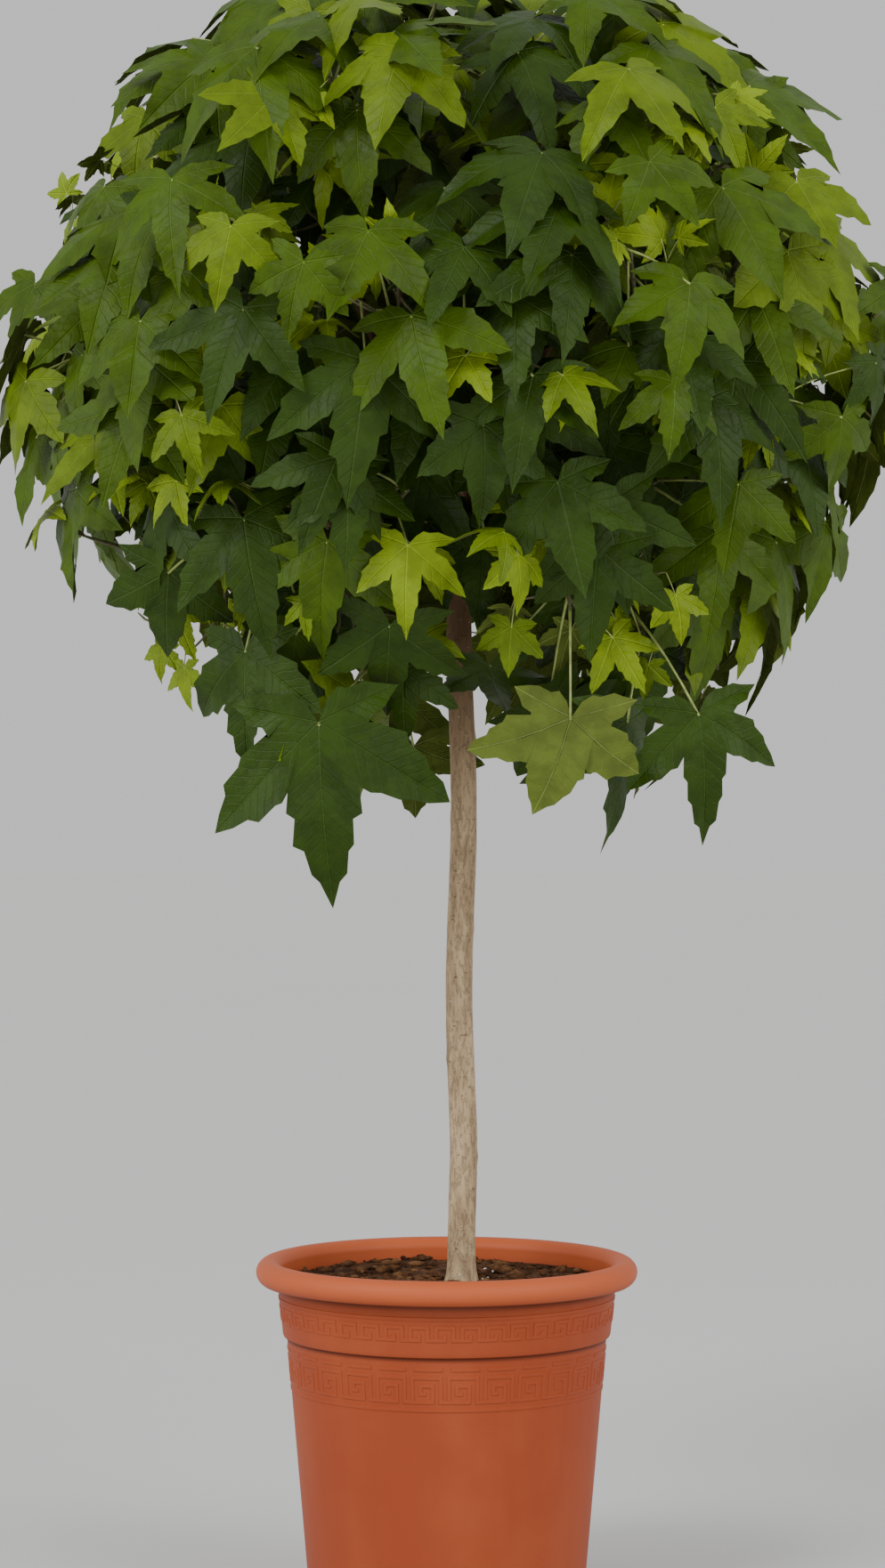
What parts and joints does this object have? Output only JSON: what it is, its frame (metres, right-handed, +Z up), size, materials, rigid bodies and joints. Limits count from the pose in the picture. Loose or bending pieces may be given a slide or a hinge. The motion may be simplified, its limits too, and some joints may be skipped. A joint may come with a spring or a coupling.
{
  "type": "potted sweetgum",
  "caption": "Young sweetgum standard: a slim trunk with a broad ball head of lobed leaves, in a round tapering plastic pot with a rolled rim.",
  "frame": {"origin": "centre of the pot's flat underside, on the axis of the round pot", "axes": "+Z up along the pot's axis; -Y towards the side of the plant that is seen first; +X to the right of a viewer at that side"},
  "size_m": [0.897, 0.8463, 1.5474],
  "materials": {
    "terracotta_plastic": "matte moulded plastic in a terracotta colour",
    "potting_soil": "rough dark potting mix",
    "trunk_bark": "thin grey-brown bark",
    "bough_bark": "smooth young olive-brown bark",
    "leaf_green": "satin green leaves"
  },
  "bodies": {
    "root": {"pot": "terracotta_plastic", "soil": "potting_soil", "trunk": "trunk_bark", "bough_low_1": "bough_bark", "bough_low_2": "bough_bark", "bough_low_3": "bough_bark", "bough_low_4": "bough_bark", "bough_low_5": "bough_bark", "bough_low_6": "bough_bark", "bough_mid_1": "bough_bark", "bough_mid_2": "bough_bark", "bough_mid_3": "bough_bark", "bough_mid_4": "bough_bark", "bough_mid_5": "bough_bark", "bough_mid_6": "bough_bark", "bough_mid_7": "bough_bark", "bough_mid_8": "bough_bark", "bough_high_1": "bough_bark", "bough_high_2": "bough_bark", "bough_high_3": "bough_bark", "bough_high_4": "bough_bark", "bough_high_5": "bough_bark", "bough_top": "bough_bark", "foliage_low_1": "leaf_green", "foliage_low_2": "leaf_green", "foliage_low_3": "leaf_green", "foliage_low_4": "leaf_green", "foliage_low_5": "leaf_green", "foliage_low_6": "leaf_green", "foliage_mid_1": "leaf_green", "foliage_mid_2": "leaf_green", "foliage_mid_3": "leaf_green", "foliage_mid_4": "leaf_green", "foliage_mid_5": "leaf_green", "foliage_mid_6": "leaf_green", "foliage_mid_7": "leaf_green", "foliage_mid_8": "leaf_green", "foliage_high_1": "leaf_green", "foliage_high_2": "leaf_green", "foliage_high_3": "leaf_green", "foliage_high_4": "leaf_green", "foliage_high_5": "leaf_green", "foliage_top": "leaf_green"}
  },
  "joints": []
}
